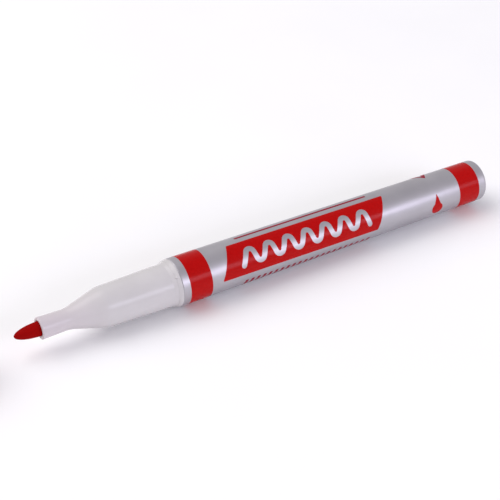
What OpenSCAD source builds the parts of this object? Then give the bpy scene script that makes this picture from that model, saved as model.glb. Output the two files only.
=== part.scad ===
// Slim round whiteboard marker with a bullet nib and a push-on clip cap.
// The pen lies along +X: the writing tip is at the origin, the closed rear end is the far end.
// The cap is pulled off and lies in line in front of the tip; it slides along +X to close the pen.

/* [Barrel] */
// Outside diameter of the barrel at its front edge
barrel_d = 11.5; // [11.2:0.1:12]
// Distance from the writing tip to the barrel's front edge
barrel_front = 39; // [38:0.05:40]
// Length of the barrel
barrel_l = 87.75; // [80:0.05:100]
// Wall thickness of the barrel
barrel_wall = 1.1; // [1:0.05:1.2]
// Radius lost per millimetre of length, the moulding draft
barrel_draft = 0.0066; // [0.004:0.0002:0.008]
// Corner radius around the closed rear end
rear_corner = 0.8; // [0.4:0.1:1]
// Thickness of the closed rear end
rear_floor = 1.3; // [1:0.1:2]

/* [Nose section] */
// Distance from the writing tip to the front rim of the neck
neck_front = 5.85; // [5.5:0.05:6.5]
// Diameter of the neck at its front rim
rim_d = 5.24; // [5:0.02:5.3]
// Diameter of the neck just behind its rim
neck_d = 5.04; // [4.8:0.02:5.1]
// Diameter of the neck where the cone starts
waist_d = 4.76; // [4.6:0.02:4.8]
// Distance from the writing tip to the point where the neck meets the cone
cone_front = 12.65; // [12:0.05:13.5]
// Distance from the writing tip to the point where the cone meets the grip
cone_back = 20.95; // [20:0.05:22]
// Diameter of the grip at its front
grip_d = 9.56; // [9.4:0.02:9.8]
// Diameter of the round land that the cap seats on
seat_d = 10.16; // [10.1:0.02:10.2]
// Length of the land that the cap seats on
seat_l = 4; // [3:0.5:5]
// Radius that blends the cone into the neck and into the grip
cone_blend = 8; // [4:1:12]
// Diameter of the collar's front edge
collar_d = 10.94; // [10.8:0.02:11.1]
// Length of the spigot that is pushed into the barrel
spigot_l = 14; // [10:0.5:16]
// Wall thickness of the spigot
spigot_wall = 0.67; // [0.6:0.01:0.7]

/* [Nib and ink] */
// Diameter of the felt nib
nib_d = 3.4; // [3:0.1:3.6]
// Length of the felt nib
nib_l = 32; // [28:1:34]
// Length of the rounded writing end
nib_tip_l = 6.2; // [6:0.1:8]
// Distance from the writing tip to the front of the ink reservoir
reservoir_front = 26.5; // [25:0.5:28]
// Diameter of the ink reservoir's fibre core
core_d = 7.4; // [7:0.1:7.4]
// Thickness of the film around the fibre core
film_t = 0.15; // [0.1:0.01:0.16]

/* [Cap] */
// Length of the cap
cap_l = 46; // [44:0.5:50]
// Outside diameter of the cap
cap_d = 11.7; // [11.6:0.1:12]
// How far the cap's mouth lies in front of the writing tip when the cap is off
cap_gap = 12; // [8:1:20]
// Thickness of the cap's closed end
cap_end_t = 1.5; // [1:0.1:2]
// Length of the clip
clip_l = 36; // [30:1:38]
// Width of the clip
clip_w = 4.4; // [3.5:0.1:5]
// Thickness of the clip
clip_t = 1.2; // [1:0.1:1.4]
// Gap between the clip and the cap
clip_gap = 1.5; // [1.2:0.1:1.6]
// Angle of the clip around the cap, measured from the +Y side towards the top
clip_angle = -27; // [-180:1:180]

/* [Hidden] */
$fn = 96;
fit = 0.03;                 // radial clearance of pieces that are pushed together
slide_fit = 0.05;           // radial clearance of the cap on its land
arc_steps = 8;              // straight steps in each rounded corner
eps = 0.02;                 // overlap that joins two solids of one piece

barrel_back = barrel_front + barrel_l;
barrel_r = barrel_d / 2;
barrel_back_r = barrel_r - barrel_draft * barrel_l;
spigot_r = barrel_r - barrel_wall - fit;
spigot_back = barrel_front + spigot_l;
bead_x = barrel_front + spigot_l * 0.5;   // middle of the snap bead on the spigot
bead_h = 0.18;                            // height of the snap bead
bead_w = 1.2;                             // width of the snap bead
hollow_r = spigot_r - spigot_wall;        // bore of the nose section around the reservoir

nib_r = nib_d / 2;
nib_hole_r = nib_r + fit;
seat_back = barrel_front - 1.9;
seat_front = seat_back - seat_l;
collar_l = 0.95;                          // length of the collar behind its front edge
collar_back_r = barrel_r - 0.03;          // the collar is flush with the barrel where they meet

film_r = core_d / 2 + fit + film_t;
reservoir_back = barrel_back - rear_floor - 3;
rib_t = 0.7;                              // thickness of the ribs inside the pen

bore_r = seat_d / 2 + slide_fit;          // bore of the cap
cap_mouth_on = seat_back + 0.1;           // where the mouth comes to rest on the closed pen
cap_travel = cap_mouth_on + cap_gap;
cap_end_on = cap_mouth_on - cap_l;
liner_back = neck_front + 4.4;            // mouth of the inner seal on the closed pen
seal_r = rim_d / 2 + 0.04;                // bore of the inner seal

function unit(v) = v / norm(v);

// Points of the arc of radius r that rounds the corner b between the lines to a and c.
function corner_arc(a, b, c, r) =
    let (u = unit(a - b), v = unit(c - b), half = acos(u * v) / 2,
         centre = b + unit(u + v) * r / sin(half),
         from = b + u * r / tan(half) - centre,
         to = b + v * r / tan(half) - centre,
         start = atan2(from[1], from[0]),
         turn = atan2(from[0] * to[1] - from[1] * to[0], from * to))
    [for (i = [0 : arc_steps]) centre + r * [cos(start + turn * i / arc_steps),
                                             sin(start + turn * i / arc_steps)]];

// An outline from [x, y, corner radius] points; a radius of 0 keeps the corner sharp.
function rounded(p) =
    [for (i = [0 : len(p) - 1])
        let (a = p[(i + len(p) - 1) % len(p)], b = p[i], c = p[(i + 1) % len(p)])
        each b[2] == 0 ? [[b[0], b[1]]]
             : corner_arc([a[0], a[1]], [b[0], b[1]], [c[0], c[1]], b[2])];

// Turns an outline of [distance along X, radius] points around the pen's axis.
module turned(outline) {
    rotate([0, 90, 0]) rotate_extrude() polygon([for (p = outline) [p[1], p[0]]]);
}

// A plain round bar along X from x0 to x1.
module bar(x0, x1, r) {
    translate([x0, 0, 0]) rotate([0, 90, 0]) cylinder(r = r, h = x1 - x0);
}

// Flat ribs from radius r0 to radius r1, spread evenly around the axis.
module ribs(count, x0, x1, r0, r1) {
    for (i = [0 : count - 1])
        rotate([i * 360 / count + 45, 0, 0])
            translate([x0, r0, -rib_t / 2]) cube([x1 - x0, r1 - r0, rib_t]);
}

// ---------------------------------------------------------------- pen

// One-piece silver tube with a closed rear end and four ribs that centre the reservoir.
module barrel() {
    bay_front_r = barrel_r - barrel_wall - barrel_draft * spigot_l - 0.1;
    bay_back = barrel_back - rear_floor;
    bay_back_r = barrel_back_r - barrel_wall;
    rib_front = barrel_back - 26;
    color([0.70, 0.69, 0.72]) {
        difference() {
            turned(rounded([
                [barrel_front, 0, 0],
                [barrel_front, barrel_r, 0.25],
                [barrel_back, barrel_back_r, rear_corner],
                [barrel_back, 0, 0]]));
            bar(barrel_front - 1, spigot_back + fit, spigot_r + fit);
            turned([
                [bead_x - bead_w / 2 - fit, 0],
                [bead_x - bead_w / 2 - fit, spigot_r],
                [bead_x, spigot_r + bead_h + 2 * fit],
                [bead_x + bead_w / 2 + fit, spigot_r],
                [bead_x + bead_w / 2 + fit, 0]]);
            turned(rounded([
                [spigot_back, 0, 0],
                [spigot_back, bay_front_r, 0],
                [bay_back, bay_back_r, 0.4],
                [bay_back, 0, 0]]));
        }
        ribs(4, rib_front, bay_back + eps, film_r + fit, bay_back_r + 0.3);
        ribs(4, reservoir_back + fit, bay_back + eps, 1.5, film_r + fit + eps);
    }
}

// White front housing: neck that grips the nib, cone, grip, collar and spigot.
module nose_section() {
    neck_bore_back = cone_front + 2;
    hollow_front = cone_back + 0.8;
    throat_r = nib_hole_r + 0.35;
    vent = 0.6;                           // width of the three air grooves beside the nib
    mouth = 0.25;                         // size of the bevel around the nib's hole
    pip_r = 0.25;                         // radius of the three small pips on the collar
    color([0.93, 0.91, 0.92]) {
        difference() {
            turned(rounded([
                [neck_front, 0, 0],
                [neck_front, rim_d / 2, 0.28],
                [neck_front + 1.4, neck_d / 2, 4],
                [cone_front, waist_d / 2, cone_blend],
                [cone_back, grip_d / 2, cone_blend],
                [seat_front - 0.4, seat_d / 2 - 0.04, 0],
                [seat_front, seat_d / 2, 0],
                [seat_back, seat_d / 2, 1],
                [barrel_front - collar_l, collar_d / 2 - 0.08, 0],
                [barrel_front - collar_l, collar_d / 2, 0.05],
                [barrel_front - 0.25, collar_back_r - 0.02, 0.3],
                [barrel_front, collar_back_r, 0],
                [barrel_front, spigot_r, 0],
                [bead_x - bead_w / 2, spigot_r, 0],
                [bead_x, spigot_r + bead_h, 0],
                [bead_x + bead_w / 2, spigot_r, 0],
                [spigot_back, spigot_r, 0.25],
                [spigot_back, 0, 0]]));
            bar(neck_front - 1, neck_bore_back + 1, nib_hole_r);
            turned([[neck_front - eps, 0], [neck_front - eps, nib_hole_r + mouth],
                    [neck_front + mouth, nib_hole_r - eps], [neck_front + mouth, 0]]);
            turned([[neck_bore_back, 0], [neck_bore_back, throat_r],
                    [hollow_front, hollow_r], [spigot_back + 1, hollow_r], [spigot_back + 1, 0]]);
            for (i = [0 : 2])
                rotate([i * 120 + 13, 0, 0])
                    translate([neck_front - 1, 0, -vent / 2])
                        cube([neck_bore_back - neck_front + 2, nib_hole_r + 0.2, vent]);
        }
        difference() {
            ribs(4, neck_bore_back + 1, reservoir_front - fit, nib_hole_r + 0.15, hollow_r + 0.2);
            turned([[neck_bore_back - 1, throat_r + 0.3], [neck_bore_back - 1, grip_d],
                    [reservoir_front + 1, grip_d], [reservoir_front + 1, hollow_r + 0.2],
                    [hollow_front, hollow_r + 0.2], [neck_bore_back, throat_r + 0.3]]);
        }
        for (i = [0 : 2])
            rotate([i * 120 + 133, 0, 0])
                translate([0, collar_d / 2 - 0.05, 0])
                    bar(barrel_front - collar_l - 0.05, barrel_front - 0.25, pip_r);
    }
}

// Felt nib with a rounded writing end; its back end pokes into the reservoir.
module nib() {
    tip_steps = 14;
    tip = [for (i = [0 : tip_steps])
              let (a = 90 * i / tip_steps) [nib_tip_l * (1 - cos(a)), nib_r * sin(a)]];
    back = corner_arc([nib_tip_l, nib_r], [nib_l, nib_r], [nib_l, 0], 0.5);
    color([0.66, 0.05, 0.07])
        turned(concat(tip, back, [[nib_l, 0]]));
}

// Ink-soaked polyester fibre core with a pocket for the nib's back end.
module ink_reservoir() {
    color([0.72, 0.10, 0.12])
        difference() {
            bar(reservoir_front, reservoir_back, core_d / 2);
            bar(reservoir_front - 1, nib_l + fit, nib_hole_r);
        }
}

// Clear film tube around the fibre core.
module reservoir_film() {
    color([0.90, 0.92, 0.95])
        difference() {
            bar(reservoir_front, reservoir_back, film_r);
            bar(reservoir_front - 1, reservoir_back + 1, core_d / 2 + fit);
        }
}

// ---------------------------------------------------------------- cap, drawn on the closed pen

// Side outline of the clip: a foot on the cap's closed end, a long bar and a rounded pad.
module clip_side() {
    foot = cap_end_on + 1;
    low = cap_d / 2 + clip_gap;
    high = low + clip_t;
    tip = cap_end_on + clip_l;
    polygon(rounded([
        [foot, cap_d / 2 - 0.4, 0],
        [foot, high, 1.6],
        [tip, high - 0.5, 0.6],
        [tip, low - 1.1, 0.5],
        [tip - 2.4, low - 1.1, 0.9],
        [tip - 4.4, low - 0.1, 2],
        [foot + 4.4, low, 0.9],
        [foot + 4.4, cap_d / 2 - 0.4, 0]]));
}

// Plan outline of the clip: slightly narrower at its free end, with round corners.
module clip_plan() {
    wide = clip_w / 2;
    slim = wide * 0.8;
    polygon(rounded([
        [cap_end_on - 1, -wide, 0],
        [cap_end_on + 12, -wide, 0],
        [cap_end_on + clip_l, -slim, 1.5],
        [cap_end_on + clip_l, slim, 1.5],
        [cap_end_on + 12, wide, 0],
        [cap_end_on - 1, wide, 0]]));
}

module clip() {
    intersection() {
        rotate([90, 0, 0])
            linear_extrude(height = clip_w + 2, center = true) clip_side();
        linear_extrude(height = cap_d) clip_plan();
    }
}

// Red cap moulded in one piece with its clip.
module cap_shell() {
    bore_front = cap_end_on + cap_end_t;
    color([0.76, 0.07, 0.09])
        translate([-cap_travel, 0, 0]) {
            difference() {
                turned(rounded([
                    [cap_end_on, 0, 0],
                    [cap_end_on, cap_d / 2 - 0.35, 1.1],
                    [cap_end_on + 8, cap_d / 2, 0],
                    [cap_mouth_on, cap_d / 2, 0.2],
                    [cap_mouth_on, 0, 0]]));
                bar(bore_front, cap_mouth_on + 1, bore_r);
                turned([[cap_mouth_on - 0.3, 0], [cap_mouth_on - 0.3, bore_r],
                        [cap_mouth_on + eps, bore_r + 0.25], [cap_mouth_on + eps, 0]]);
            }
            rotate([clip_angle - 90, 0, 0]) clip();
        }
}

// Soft liner in the cap's closed end that seals around the neck's rim.
module cap_inner_seal() {
    seat = cap_end_on + cap_end_t;
    outer_r = bore_r - fit;
    tube_r = seal_r + 0.9;
    color([0.95, 0.95, 0.93])
        translate([-cap_travel, 0, 0]) {
            difference() {
                union() {
                    bar(seat, seat + 1.5, outer_r);
                    bar(seat, liner_back, tube_r);
                    bar(liner_back - 3.2, liner_back - 1.8, outer_r);
                    ribs(6, seat + 0.5, liner_back - 2.5, tube_r - 0.3, outer_r - 0.4);
                }
                bar(seat + 2, liner_back + 1, nib_r + 0.7);
                bar(neck_front - 1.2, liner_back + 1, seal_r);
                turned([[liner_back - 0.7, 0], [liner_back - 0.7, seal_r - 0.1],
                        [liner_back + eps, seal_r + 0.5], [liner_back + eps, 0]]);
            }
        }
}

barrel();
nose_section();
nib();
ink_reservoir();
reservoir_film();
cap_shell();
cap_inner_seal();
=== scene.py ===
"""Slim whiteboard marker: the looks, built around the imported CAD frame.

Everything is in metres in the CAD's own frame: the writing tip is the origin, the pen lies
along +X and +Z is up. Small sizes are written in millimetres and multiplied by MM.
Angles around the pen are measured from the +Y side towards the top.
"""
import math

import bmesh
import bpy
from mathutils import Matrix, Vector


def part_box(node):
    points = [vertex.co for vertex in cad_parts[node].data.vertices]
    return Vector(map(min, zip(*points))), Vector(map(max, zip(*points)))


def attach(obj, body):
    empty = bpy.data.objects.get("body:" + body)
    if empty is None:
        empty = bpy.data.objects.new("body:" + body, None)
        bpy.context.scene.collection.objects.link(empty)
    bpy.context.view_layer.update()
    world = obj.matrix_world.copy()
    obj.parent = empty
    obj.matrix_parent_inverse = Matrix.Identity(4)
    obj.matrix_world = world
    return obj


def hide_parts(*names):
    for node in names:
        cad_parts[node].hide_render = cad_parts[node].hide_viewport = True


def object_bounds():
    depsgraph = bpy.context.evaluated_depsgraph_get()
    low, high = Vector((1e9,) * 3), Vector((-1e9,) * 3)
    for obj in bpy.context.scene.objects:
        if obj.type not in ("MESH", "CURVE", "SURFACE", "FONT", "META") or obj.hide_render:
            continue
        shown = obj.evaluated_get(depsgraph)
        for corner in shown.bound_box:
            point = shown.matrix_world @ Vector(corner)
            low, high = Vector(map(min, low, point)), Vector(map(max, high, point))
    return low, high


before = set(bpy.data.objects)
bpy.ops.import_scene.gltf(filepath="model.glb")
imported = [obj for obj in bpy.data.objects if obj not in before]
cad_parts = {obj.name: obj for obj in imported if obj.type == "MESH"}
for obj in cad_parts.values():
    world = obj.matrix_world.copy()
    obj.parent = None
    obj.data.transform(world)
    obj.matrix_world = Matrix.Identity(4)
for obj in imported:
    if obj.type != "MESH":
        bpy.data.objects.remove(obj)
cad_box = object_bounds()

MM = 0.001
AROUND = 240          # mesh steps around the pen
ARC_STEPS = 10        # mesh steps in each rounded corner

# ---------------------------------------------------------------- sizes taken from the frame


def span_mm(node):
    """A CAD node's first and last x, and its height above the pen's axis, in millimetres."""
    low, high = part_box(node)
    return low.x / MM, high.x / MM, high.z / MM


BARREL_FRONT, BARREL_BACK = span_mm("barrel")[:2]
NECK_FRONT, SPIGOT_BACK = span_mm("nose_section")[:2]
NIB_BACK, NIB_R = span_mm("nib")[1:]
CAP_END, CAP_MOUTH, CAP_R = span_mm("cap_shell")

BARREL_R = 5.75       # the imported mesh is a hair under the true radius
DRAFT = 0.0066        # radius lost per millimetre of barrel
WALL = 1.1            # wall thickness of the barrel
FIT = 0.03            # radial clearance of pieces that are pushed together
SPIGOT_R = BARREL_R - WALL - FIT
SEAT_R = 5.08         # the land that the cap seats on
FLOOR_Z = cad_box[0][2]


def barrel_radius(x):
    """The barrel's outside radius at x, both in millimetres."""
    return BARREL_R - DRAFT * (x - BARREL_FRONT)


# ---------------------------------------------------------------- outlines and turned shapes


def corner(before, at, after, radius):
    """Points of the arc that rounds the corner at `at` between two straight lines."""
    a, b, c = Vector(before), Vector(at), Vector(after)
    u, v = (a - b).normalized(), (c - b).normalized()
    half = math.acos(max(-1, min(1, u.dot(v)))) / 2
    centre = b + (u + v).normalized() * radius / math.sin(half)
    first = b + u * radius / math.tan(half) - centre
    last = b + v * radius / math.tan(half) - centre
    start = math.atan2(first.y, first.x)
    turn = math.atan2(first.x * last.y - first.y * last.x, first.dot(last))
    angles = [start + turn * i / ARC_STEPS for i in range(ARC_STEPS + 1)]
    return [(centre.x + radius * math.cos(t), centre.y + radius * math.sin(t)) for t in angles]


def rounded(points):
    """An outline from (x, y, corner radius) points; radius 0 keeps a corner sharp."""
    outline = []
    for i, (x, y, radius) in enumerate(points):
        if radius == 0:
            outline.append((x, y))
        else:
            before, after = points[i - 1], points[(i + 1) % len(points)]
            outline += corner(before[:2], (x, y), after[:2], radius)
    return outline


def new_object(name, bm, material, sharp_degrees=32):
    """A smooth-shaded mesh object from a bmesh whose sizes are in millimetres."""
    bmesh.ops.recalc_face_normals(bm, faces=bm.faces)
    mesh = bpy.data.meshes.new(name)
    bm.to_mesh(mesh)
    bm.free()
    mesh.transform([[MM, 0, 0, 0], [0, MM, 0, 0], [0, 0, MM, 0], [0, 0, 0, 1]])
    mesh.polygons.foreach_set("use_smooth", [True] * len(mesh.polygons))
    mesh.set_sharp_from_angle(angle=math.radians(sharp_degrees))
    mesh.materials.append(material)
    obj = bpy.data.objects.new(name, mesh)
    bpy.context.scene.collection.objects.link(obj)
    return obj


def turned_bmesh(outline, around=AROUND, wobble=None):
    """Turns a closed (x, radius) outline around the pen's axis, in millimetres.
    wobble(x, angle) adds a small radial error, for a surface that isn't truly round."""
    bm = bmesh.new()
    rings = []
    for x, r in outline:
        if r < 1e-6:
            rings.append([bm.verts.new((x, 0, 0))])
            continue
        ring = []
        for k in range(around):
            t = 2 * math.pi * k / around
            rr = r + (wobble(x, t) if wobble else 0)
            ring.append(bm.verts.new((x, rr * math.cos(t), rr * math.sin(t))))
        rings.append(ring)
    for a, b in zip(rings, rings[1:] + rings[:1]):
        if len(a) == 1 and len(b) == 1:
            continue
        for k in range(around):
            n = (k + 1) % around
            corners = {
                (1, around): lambda: (a[0], b[k], b[n]),
                (around, 1): lambda: (a[k], b[0], a[n]),
                (around, around): lambda: (a[k], b[k], b[n], a[n]),
            }[len(a), len(b)]()
            bm.faces.new(corners)
    return bm


def join_solid(target, tool):
    """Unites another closed object with target and removes it."""
    union = target.modifiers.new("union", "BOOLEAN")
    union.operation = "UNION"
    union.solver = "EXACT"
    union.object = tool
    apply_modifiers(target)
    bpy.data.objects.remove(tool)


def apply_modifiers(obj):
    """Replaces an object's mesh with the one that its modifiers make."""
    graph = bpy.context.evaluated_depsgraph_get()
    final = bpy.data.meshes.new_from_object(obj.evaluated_get(graph))
    obj.modifiers.clear()
    obj.data = final


# ---------------------------------------------------------------- materials


class Look:
    """A Principled material and short calls for its procedural detail."""

    def __init__(self, name, roughness=0.4, metallic=0.0, specular=0.5, coat=0.0):
        self.material = bpy.data.materials.new(name)
        self.material.use_nodes = True
        self.tree = self.material.node_tree
        self.shader = self.tree.nodes["Principled BSDF"]
        self.set("Roughness", roughness)
        self.set("Metallic", metallic)
        self.set("Specular IOR Level", specular)
        self.set("Coat Weight", coat)

    def set(self, socket, value):
        self.shader.inputs[socket].default_value = value

    def node(self, kind, **inputs):
        node = self.tree.nodes.new(kind)
        for name, value in inputs.items():
            node.inputs[name.replace("_", " ")].default_value = value
        return node

    def link(self, source, target):
        self.tree.links.new(source, target)

    def noise(self, size_mm, stretch=(1, 1, 1), detail=3.0):
        """Noise with grains of about size_mm, stretched along each axis."""
        coords = self.node("ShaderNodeTexCoord")
        mapping = self.node("ShaderNodeMapping", Scale=[1 / s for s in stretch])
        noise = self.node("ShaderNodeTexNoise", Scale=1 / (size_mm * MM), Detail=detail)
        self.link(coords.outputs["Object"], mapping.inputs["Vector"])
        self.link(mapping.outputs["Vector"], noise.inputs["Vector"])
        return noise.outputs["Fac"]

    def colours(self, fac, low, high, start=0.35, end=0.65):
        """Base colour that runs from low to high as fac goes from start to end."""
        ramp = self.node("ShaderNodeValToRGB")
        ramp.color_ramp.elements[0].position = start
        ramp.color_ramp.elements[1].position = end
        ramp.color_ramp.elements[0].color = (*low, 1)
        ramp.color_ramp.elements[1].color = (*high, 1)
        self.link(fac, ramp.inputs["Fac"])
        self.link(ramp.outputs["Color"], self.shader.inputs["Base Color"])

    def rough_between(self, fac, low, high):
        spread = self.node("ShaderNodeMapRange", From_Min=0.3, From_Max=0.7)
        spread.inputs["To Min"].default_value = low
        spread.inputs["To Max"].default_value = high
        self.link(fac, spread.inputs["Value"])
        self.link(spread.outputs["Result"], self.shader.inputs["Roughness"])

    def bump(self, *heights, strength=0.3, depth_mm=0.02):
        """Bump from one or more heights, each laid over the one before."""
        below = None
        for height in heights:
            bump = self.node("ShaderNodeBump", Strength=strength, Distance=depth_mm * MM)
            self.link(height, bump.inputs["Height"])
            if below:
                self.link(below.outputs["Normal"], bump.inputs["Normal"])
            below = bump
        self.link(below.outputs["Normal"], self.shader.inputs["Normal"])


def silver_coat():
    """Metallic silver coat: fine lengthwise rolling lines and a faint cloudiness."""
    look = Look("silver_coat", metallic=0.62, specular=0.5)
    lines = look.noise(0.25, stretch=(60, 1, 1))
    cloud = look.noise(6)
    look.colours(cloud, (0.43, 0.415, 0.44), (0.46, 0.445, 0.47))
    look.rough_between(lines, 0.39, 0.45)
    look.bump(lines, look.noise(0.12), strength=0.12, depth_mm=0.01)
    return look.material


def red_print():
    """Glossy red printing ink with a slight mottle."""
    look = Look("red_print", specular=0.1)
    look.colours(look.noise(0.5), (0.41, 0.002, 0.002), (0.45, 0.003, 0.003))
    look.rough_between(look.noise(1.5), 0.18, 0.23)
    look.bump(look.noise(0.15), strength=0.1, depth_mm=0.006)
    return look.material


def dark_red_print():
    """The deeper red of the fine print."""
    look = Look("dark_red_print", specular=0.06)
    look.colours(look.noise(0.5), (0.24, 0.002, 0.018), (0.29, 0.003, 0.022))
    look.rough_between(look.noise(1.5), 0.32, 0.40)
    look.bump(look.noise(0.15), strength=0.1, depth_mm=0.006)
    return look.material


def white_plastic():
    """Natural white polypropylene: soft gloss, fine orange peel, stained pink near the nib."""
    look = Look("white_plastic", specular=0.25)
    look.colours(look.noise(5), (0.583, 0.562, 0.563), (0.608, 0.587, 0.588))
    clean = look.shader.inputs["Base Color"].links[0].from_socket
    along = look.node("ShaderNodeSeparateXYZ")
    look.link(look.node("ShaderNodeTexCoord").outputs["Object"], along.inputs[0])
    stain = look.node("ShaderNodeMapRange", From_Min=0.005, From_Max=0.022)
    stain.inputs["To Min"].default_value = 0.9
    stain.inputs["To Max"].default_value = 0.0
    look.link(along.outputs["X"], stain.inputs["Value"])
    mix = look.node("ShaderNodeMix")
    mix.data_type = "RGBA"
    look.link(stain.outputs["Result"], mix.inputs["Factor"])
    look.link(clean, mix.inputs["A"])
    mix.inputs["B"].default_value = (0.605, 0.54, 0.57, 1)
    look.link(mix.outputs["Result"], look.shader.inputs["Base Color"])
    look.rough_between(look.noise(2), 0.18, 0.22)
    look.bump(look.noise(0.3), strength=0.05, depth_mm=0.008)
    return look.material


def red_felt():
    """Pressed fibre nib, wet with red ink: lengthwise fibres and small pores."""
    look = Look("red_felt", specular=0.05)
    fibres = look.noise(0.09, stretch=(9, 1, 1), detail=5)
    look.colours(fibres, (0.25, 0.001, 0.001), (0.35, 0.002, 0.002), 0.3, 0.7)
    look.rough_between(fibres, 0.7, 0.95)
    look.bump(fibres, look.noise(0.07), strength=0.5, depth_mm=0.03)
    return look.material


def ink_fibre():
    """Bundled polyester fibre soaked in red ink."""
    look = Look("ink_fibre", roughness=0.8, specular=0.3)
    strands = look.noise(0.15, stretch=(40, 1, 1), detail=5)
    look.colours(strands, (0.30, 0.01, 0.015), (0.52, 0.05, 0.05), 0.3, 0.7)
    look.bump(strands, strength=0.6, depth_mm=0.05)
    return look.material


def clear_film():
    """Thin clear film tube with faint wrinkles."""
    look = Look("clear_film", roughness=0.2, specular=0.5)
    wrinkles = look.noise(3, stretch=(4, 1, 1))
    look.colours(wrinkles, (0.80, 0.83, 0.86), (0.90, 0.92, 0.95))
    look.set("Alpha", 0.45)
    look.bump(wrinkles, strength=0.3, depth_mm=0.05)
    return look.material


def cap_plastic():
    """Glossy red moulded plastic with a faint cloudiness and fine lengthwise streaks."""
    look = Look("cap_plastic", specular=0.25)
    look.colours(look.noise(7), (0.40, 0.002, 0.003), (0.44, 0.003, 0.004))
    look.rough_between(look.noise(0.2, stretch=(12, 1, 1)), 0.20, 0.25)
    look.bump(look.noise(0.35), strength=0.05, depth_mm=0.008)
    return look.material


def seal_plastic():
    """Soft off-white liner plastic."""
    look = Look("seal_plastic", specular=0.4)
    look.colours(look.noise(3), (0.74, 0.73, 0.70), (0.80, 0.79, 0.76))
    look.rough_between(look.noise(1), 0.5, 0.62)
    look.bump(look.noise(0.4), strength=0.15, depth_mm=0.015)
    return look.material


def pale_floor():
    """Plain pale matt floor."""
    look = Look("pale_floor", specular=0.1)
    look.colours(look.noise(40), (0.95, 0.95, 0.95), (0.965, 0.965, 0.965))
    look.rough_between(look.noise(15), 0.85, 0.95)
    return look.material


SILVER = silver_coat()
RED = red_print()
DARK_RED = dark_red_print()
WHITE = white_plastic()
FELT = red_felt()
CAP_RED = cap_plastic()
SEAL = seal_plastic()


def place(obj, body, slot, *nodes):
    """Puts a finished piece on its body and hides the CAD nodes that it stands for. The slot
    argument is not used.
    """
    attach(obj, body)
    if nodes:
        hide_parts(*nodes)


# ---------------------------------------------------------------- pen


def barrel():
    """Silver tube: front edge broken, closed rear end with a shallow recess and a gate mark."""
    back_r = barrel_radius(BARREL_BACK)
    rear_floor = 1.3
    inner_back = BARREL_BACK - rear_floor
    socket_r, socket_back = SPIGOT_R + FIT, SPIGOT_BACK + FIT
    recess_r, recess = 3.1, 0.2
    gate_r, gate = 0.6, 0.12
    outline = rounded([
        (BARREL_FRONT, socket_r, 0.08),
        (BARREL_FRONT, BARREL_R, 0.25),
        (BARREL_BACK, back_r, 0.8),
        (BARREL_BACK, recess_r, 0.08),
        (BARREL_BACK - recess, recess_r - 0.1, 0.06),
        (BARREL_BACK - recess, gate_r, 0.04),
        (BARREL_BACK - recess + gate, gate_r - 0.05, 0.04),
        (BARREL_BACK - recess + gate, 0, 0),
        (inner_back, 0, 0),
        (inner_back, back_r - WALL, 0.4),
        (socket_back, SPIGOT_R - 0.07, 0),
        (socket_back, socket_r, 0),
    ])
    place(new_object("barrel_tube", turned_bmesh(outline), SILVER), "pen", "silver_coat", "barrel")


PIPS, PIP_ANGLE = 3, 133      # dots on the collar: how many, and where the first one is


def nose():
    """White front housing: rim, neck, cone, grip, cap land, collar and three small pips."""
    rim_r, neck_r, waist_r, grip_r = 2.62, 2.52, 2.38, 4.78
    waist_x, grip_x, blend = 12.65, 20.95, 8
    land_x, land_l, lead_in = BARREL_FRONT - 1.9, 4.0, 0.4
    collar_x, collar_r = BARREL_FRONT - 0.95, 5.47
    hole_r, bevel = NIB_R + FIT, 0.25
    spigot_wall = 0.67
    hollow_r = SPIGOT_R - spigot_wall
    flange_r = BARREL_R - 0.03
    bore_back = waist_x + 2
    outline = rounded([
        (NECK_FRONT + bevel, hole_r, 0),
        (NECK_FRONT, hole_r + bevel, 0.1),
        (NECK_FRONT, rim_r, 0.28),
        (NECK_FRONT + 1.4, neck_r, 4),
        (waist_x, waist_r, blend),
        (grip_x, grip_r, blend),
        (land_x - land_l - lead_in, SEAT_R - 0.04, 0),
        (land_x - land_l, SEAT_R, 0),
        (land_x, SEAT_R, 1),
        (collar_x, collar_r - 0.08, 0),
        (collar_x, collar_r, 0.05),
        (BARREL_FRONT - 0.25, flange_r - 0.02, 0.3),
        (BARREL_FRONT, flange_r, 0),
        (BARREL_FRONT, SPIGOT_R, 0),
        (SPIGOT_BACK, SPIGOT_R, 0.25),
        (SPIGOT_BACK, hollow_r, 0.1),
        (grip_x + 0.8, hollow_r, 1),
        (bore_back, hole_r + 0.35, 0),
        (bore_back, hole_r, 0),
    ])
    bm = turned_bmesh(outline)
    pip_x, pip_middle_r = BARREL_FRONT - 0.62, collar_r - 0.01
    for i in range(PIPS):
        add_pip(bm, pip_x, pip_middle_r, math.radians(PIP_ANGLE + i * 360 / PIPS))
    place(new_object("nose_housing", bm, WHITE, sharp_degrees=40),
          "pen", "white_plastic", "nose_section")


def add_pip(bm, x, r, angle):
    """Adds a small long dot that stands out of the collar, at x, radius r and angle."""
    made = bmesh.ops.create_uvsphere(bm, u_segments=24, v_segments=16, radius=1)["verts"]
    bmesh.ops.scale(bm, verts=made, vec=(0.5, 0.3, 0.3))
    bmesh.ops.translate(bm, verts=made, vec=(x, r * math.cos(angle), r * math.sin(angle)))


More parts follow.
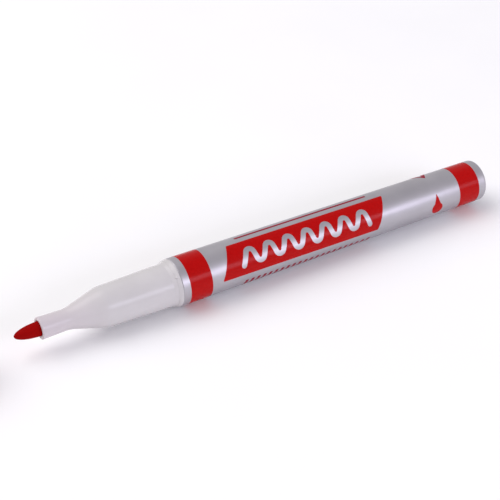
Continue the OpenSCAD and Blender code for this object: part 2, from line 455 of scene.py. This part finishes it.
def nib():
    """Bullet nib: rounded writing end, slightly uneven as pressed fibre is."""
    tip_l = 6.2
    steps = 28
    tip = [(tip_l * (1 - math.cos(t)), NIB_R * math.sin(t))
           for t in (math.pi / 2 * i / steps for i in range(steps + 1))]
    body = [(tip_l + i, NIB_R) for i in range(1, int(NIB_BACK - tip_l) - 1)]
    back_edge = 0.5
    back = corner((tip_l, NIB_R), (NIB_BACK, NIB_R), (NIB_BACK, 0), back_edge)
    depth, fade_l = 0.012, 2

    def uneven(x, angle):
        """Shallow ripples that only cut in, and fade out towards the writing tip."""
        fade = min(1, x / fade_l)
        ripple = math.sin(7 * angle + 1.3 * x) * math.sin(3 * angle - 2.1 * x)
        return -depth * fade * (1 + ripple)

    outline = tip + body + back + [(NIB_BACK, 0)]
    bm = turned_bmesh(outline, around=120, wobble=uneven)
    place(new_object("bullet_nib", bm, FELT), "pen", "red_felt", "nib")


# ---------------------------------------------------------------- prints on the barrel


INK_UNDER, INK_OVER = 0.012, 0.016      # how far a print reaches below and above the surface
STEP_DEGREES = 2.0                       # a flat print is cut at this spacing before it is bent


def wrapped_print(name, loops, material, centre_degrees, twist=0.0):
    """A printed shape, wrapped around the barrel.

    loops are closed outlines of (x, height) in millimetres: x along the pen, height measured
    around the barrel, upwards from the angle centre_degrees on the label's side.
    An outline inside another is a hole. twist is in degrees per millimetre from LABEL_X."""
    curve = bpy.data.curves.new(name, "CURVE")
    curve.dimensions = "2D"
    curve.fill_mode = "BOTH"
    for loop in loops:
        spline = curve.splines.new("POLY")
        spline.points.add(len(loop) - 1)
        for point, (x, height) in zip(spline.points, loop):
            point.co = (x, height, 0, 1)
        spline.use_cyclic_u = True
    flat = bpy.data.objects.new(name, curve)
    bpy.context.scene.collection.objects.link(flat)
    bpy.context.view_layer.update()
    graph = bpy.context.evaluated_depsgraph_get()
    sheet = bpy.data.meshes.new_from_object(flat.evaluated_get(graph))
    bpy.data.objects.remove(flat)

    bm = bmesh.new()
    bm.from_mesh(sheet)
    bpy.data.meshes.remove(sheet)
    bmesh.ops.remove_doubles(bm, verts=bm.verts, dist=1e-4)
    heights = [v.co.y for v in bm.verts]
    step = math.radians(STEP_DEGREES) * BARREL_R
    cuts = int((max(heights) - min(heights)) / step)
    for i in range(1, cuts + 1):
        everything = bm.verts[:] + bm.edges[:] + bm.faces[:]
        bmesh.ops.bisect_plane(bm, geom=everything, dist=1e-6,
                               plane_co=(0, min(heights) + i * step, 0), plane_no=(0, 1, 0))
    under = bmesh.ops.extrude_face_region(bm, geom=bm.faces[:])["geom"]
    lower = {v for v in under if isinstance(v, bmesh.types.BMVert)}
    for v in bm.verts:
        x, height = v.co.x, v.co.y
        r = barrel_radius(x) + (-INK_UNDER if v in lower else INK_OVER)
        t = math.radians(centre_degrees + twist * (x - LABEL_X)) - height / barrel_radius(x)
        v.co = (x, r * math.cos(t), r * math.sin(t))
    place(new_object(name, bm, material), "pen", "red_print")


def ring_print(name, x0, x1, material):
    """A printed band that goes all the way round."""
    outline = [(x0, barrel_radius(x0) - INK_UNDER), (x0, barrel_radius(x0) + INK_OVER),
               (x1, barrel_radius(x1) + INK_OVER), (x1, barrel_radius(x1) - INK_UNDER)]
    place(new_object(name, turned_bmesh(outline), material), "pen", "red_print")


def box_loop(x0, y0, x1, y1, radius=0.2, lean=0.0):
    """A rectangle with round corners; lean moves its top edge along x."""
    return rounded([(x0, y0, radius), (x1, y0, radius), (x1 + lean, y1, radius),
                    (x0 + lean, y1, radius)])


def stroke(points, width):
    """The outline of a round-ended pen stroke that follows the points."""
    half = width / 2
    left, right = [], []
    for i, p in enumerate(points):
        a, b = Vector(points[max(0, i - 1)]), Vector(points[min(len(points) - 1, i + 1)])
        n = (b - a).normalized()
        left.append((p[0] - n.y * half, p[1] + n.x * half))
        right.append((p[0] + n.y * half, p[1] - n.x * half))

    def cap(at, towards):
        start = math.atan2(towards[1], towards[0])
        return [(at[0] + half * math.cos(start - math.pi * k / 8),
                 at[1] + half * math.sin(start - math.pi * k / 8)) for k in range(1, 8)]

    first = Vector(left[0]) - Vector(points[0])
    last = Vector(left[-1]) - Vector(points[-1])
    return left + cap(points[-1], last) + right[::-1] + cap(points[0], -first)


LABEL_MIDDLE = 143.0      # angle of the label's centre line
LABEL_X = 72.9            # the label's middle along the pen
LABEL_TWIST = 0.109       # the label was printed slightly askew, in degrees per millimetre
BAND_FRONT = (40.9, 46.55)
BAND_BACK = (118.1, 124.2)
MARKS_X = 111             # the drop and the tick stand at this place along the pen
DROP_ANGLE, TICK_ANGLE = 178, 57


def around(degrees):
    """Height on the label of an angle around the barrel."""
    return math.radians(LABEL_MIDDLE - degrees) * 5.6


def label_panel():
    """Red slanted panel with a silver wave left open in it."""
    top, low, edge = around(98.9), around(184.4), 0.25
    panel = rounded([(49.2, low, edge), (92.8, low, edge), (96.6, top, edge), (52.8, top, edge)])
    first, last, turns = 54.7, 91.4, 14
    middle, swing, lean = around(141.8), 3.7, 0.45
    bend, line_w = 1.0, 1.3
    zigzag = []
    for i in range(turns + 1):
        side = 1 if i % 2 else -1
        zigzag.append((first + (last - first) * i / turns + lean * side, middle + swing * side))
    wave = [tuple(Vector(zigzag[0]).lerp(Vector(zigzag[1]), 0.25))]
    for before, at, after in zip(zigzag, zigzag[1:], zigzag[2:]):
        wave += corner(before, at, after, bend)
    wave.append(tuple(Vector(zigzag[-1]).lerp(Vector(zigzag[-2]), 0.25)))
    wave_line = stroke(wave, line_w)
    wrapped_print("label_panel", [panel, wave_line], RED, LABEL_MIDDLE, LABEL_TWIST)


def top_stripe():
    """One thin plain stripe above the panel."""
    stripe = box_loop(56, around(84), 93, around(77), 0.3)
    wrapped_print("top_stripe", [stripe], DARK_RED, LABEL_MIDDLE, LABEL_TWIST)


def hatch_bars():
    """One even row of equal slanted bars below the panel."""
    first, last, count, share = 55.2, 90.7, 22, 0.5
    low, high = around(236), around(204.5)
    lean = (high - low) * 0.12
    pitch = (last - first) / (count - share)
    starts = [first + i * pitch for i in range(count)]
    loops = [box_loop(x, low, x + share * pitch, high, 0.25, lean=lean) for x in starts]
    wrapped_print("hatch_bars", loops, DARK_RED, LABEL_MIDDLE, LABEL_TWIST)


def ink_drop():
    """Plain solid ink drop: most of a circle, drawn out to a point at the top."""
    width, steps, start, turn = 3.2, 40, -235, 290
    r = width / 2
    middle, point = -0.55 * r, 0.95 * width
    angles = [math.radians(start + turn * i / steps) for i in range(steps + 1)]
    outline = [(MARKS_X + r * math.cos(t), middle + r * math.sin(t)) for t in angles]
    wrapped_print("ink_drop", [outline + [(MARKS_X, point)]], RED, DROP_ANGLE)


def tick_mark():
    """Plain solid tick."""
    line_w = 1.2
    tick = stroke([(MARKS_X - 2.2, 0.2), (MARKS_X - 0.4, -2.3), (MARKS_X + 2.2, 2.4)], line_w)
    wrapped_print("tick_mark", [tick], DARK_RED, TICK_ANGLE)


# ---------------------------------------------------------------- cap


CLIP_ANGLE = -27          # the cap lies on the edge of its clip


def cap():
    """Red cap with its clip: a hollow turned shell, closed at the end, and a sprung bar."""
    bore_r = SEAT_R + 0.05
    inner_end = CAP_END + 1.5
    taper_back = CAP_END + 8
    groove = CAP_END + 0.3                # a ring groove in the closed end
    shell = rounded([
        (CAP_END, 0, 0),
        (CAP_END, 3.4, 0.2),
        (groove, 3.5, 0.15),
        (groove, 3.9, 0.15),
        (CAP_END, 4.0, 0.15),
        (CAP_END, CAP_R - 0.35, 1.1),
        (taper_back, CAP_R, 0),
        (CAP_MOUTH, CAP_R, 0.2),
        (CAP_MOUTH, bore_r, 0.22),
        (inner_end, bore_r, 0.4),
        (inner_end, 0, 0),
    ])
    obj = new_object("cap_body", turned_bmesh(shell), CAP_RED)
    join_solid(obj, clip())
    obj.data.materials.clear()
    obj.data.materials.append(CAP_RED)
    obj.data.polygons.foreach_set("material_index", [0] * len(obj.data.polygons))
    obj.data.set_sharp_from_angle(angle=math.radians(35))
    place(obj, "cap", "red_plastic", "cap_shell")


def clip():
    """The clip alone, a bar with a foot and a rounded pad, all its edges softened."""
    foot, tip, narrows_from = CAP_END + 1, CAP_END + 36, CAP_END + 12
    gap, thickness = 1.5, 1.2
    low = CAP_R + gap
    high = low + thickness
    wide, slim = 2.2, 1.76                # half widths at the foot and at the free end
    side = rounded([
        (foot, CAP_R - 0.4, 0), (foot, high, 1.6), (tip, high - 0.5, 0.6),
        (tip, low - 1.1, 0.5), (tip - 2.4, low - 1.1, 0.9), (tip - 4.4, low - 0.1, 2),
        (foot + 4.4, low, 0.9), (foot + 4.4, CAP_R - 0.4, 0),
    ])
    bm = bmesh.new()
    faces = []
    for sign in (-1, 1):
        verts = []
        for x, z in side:
            share = max(0, (x - narrows_from) / (tip - narrows_from))
            verts.append(bm.verts.new((x, sign * (wide + (slim - wide) * share), z)))
        faces.append(bm.faces.new(verts))
    n = len(side)
    a, b = faces[0].verts[:], faces[1].verts[:]
    for i in range(n):
        bm.faces.new((a[i], a[(i + 1) % n], b[(i + 1) % n], b[i]))
    bmesh.ops.recalc_face_normals(bm, faces=bm.faces)
    rims = [e for f in faces for e in f.edges]
    bmesh.ops.bevel(bm, geom=rims, offset=0.28, segments=4, profile=0.5, affect="EDGES",
                    clamp_overlap=True)
    turn = math.radians(CLIP_ANGLE - 90)
    cos, sin = math.cos(turn), math.sin(turn)
    for v in bm.verts:
        x, y, z = v.co
        v.co = (x, y * cos - z * sin, y * sin + z * cos)
    return new_object("clip_tool", bm, CAP_RED)


# ---------------------------------------------------------------- stage, light and camera


def aim(obj, target):
    """Turns a lamp or a camera to look at target."""
    obj.rotation_euler = (Vector(target) - obj.location).to_track_quat("-Z", "Y").to_euler()


def back_vector(azimuth, elevation):
    """Unit vector from what is looked at towards the camera, for angles in degrees."""
    a, e = math.radians(azimuth), math.radians(elevation)
    return Vector((math.sin(a) * math.cos(e), -math.cos(a) * math.cos(e), math.sin(e)))


def soft_light(name, place_at, target, size, power, colour):
    """A rectangular softbox, size (width, height) in metres."""
    data = bpy.data.lights.new(name, "AREA")
    data.shape = "RECTANGLE"
    data.size, data.size_y = size
    data.energy = power
    data.color = colour
    obj = bpy.data.objects.new(name, data)
    bpy.context.scene.collection.objects.link(obj)
    obj.location = place_at
    aim(obj, target)


def stage():
    """Pale floor, a soft grey surround and two softboxes."""
    bm = bmesh.new()
    half = 2500                           # half the floor's side, in millimetres
    for x, y in ((-half, -half), (half, -half), (half, half), (-half, half)):
        bm.verts.new((x, y, FLOOR_Z / MM))
    bm.faces.new(bm.verts)
    floor = new_object("studio_floor", bm, pale_floor())

    world = bpy.data.worlds.new("studio_air")
    bpy.context.scene.world = world
    world.use_nodes = True
    tree = world.node_tree
    height = tree.nodes.new("ShaderNodeSeparateXYZ")
    sky = tree.nodes.new("ShaderNodeValToRGB")
    tree.links.new(tree.nodes.new("ShaderNodeTexCoord").outputs["Generated"], height.inputs[0])
    tree.links.new(height.outputs["Z"], sky.inputs["Fac"])
    tree.links.new(sky.outputs["Color"], tree.nodes["Background"].inputs["Color"])
    low, high = sky.color_ramp.elements
    low.position, low.color = 0.62, (0.60, 0.585, 0.605, 1)
    high.position, high.color = 0.90, (0.34, 0.33, 0.35, 1)

    soft_light("key_softbox", (0.30, -0.52, 0.215), target=(0.30, 0, 0),
               size=(0.52, 0.18), power=1.6, colour=(0.85, 0.82, 1.0))
    soft_light("top_fill", (-0.40, 0.42, 0.75), target=(0.045, 0, 0),
               size=(1.0, 1.0), power=7.6, colour=(1.0, 0.99, 1.0))


def camera():
    """A long lens, at the front of the label's side and 34 degrees above the floor."""
    azimuth, elevation, distance = -31.31, 34.03, 330.5 * MM
    data = bpy.data.cameras.new("view")
    data.sensor_width = 36
    data.lens = 100.8
    data.clip_start = 0.01
    obj = bpy.data.objects.new("view", data)
    bpy.context.scene.collection.objects.link(obj)
    target = Vector((61.08, 2.12, 0.10)) * MM
    obj.location = target + distance * back_vector(azimuth, elevation)
    aim(obj, target)
    bpy.context.scene.camera = obj


def paint_nodes():
    """Materials for the CAD nodes that stay as they are."""
    for node, material in (("ink_reservoir", ink_fibre()), ("reservoir_film", clear_film()),
                           ("cap_inner_seal", SEAL)):
        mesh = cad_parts[node].data
        mesh.materials.clear()
        mesh.materials.append(material)


camera()
stage()
paint_nodes()
barrel()
nose()
nib()
ring_print("front_band", *BAND_FRONT, RED)
ring_print("rear_band", *BAND_BACK, RED)
label_panel()
top_stripe()
hatch_bars()
ink_drop()
tick_mark()
cap()

bpy.context.scene.view_settings.view_transform = "Standard"
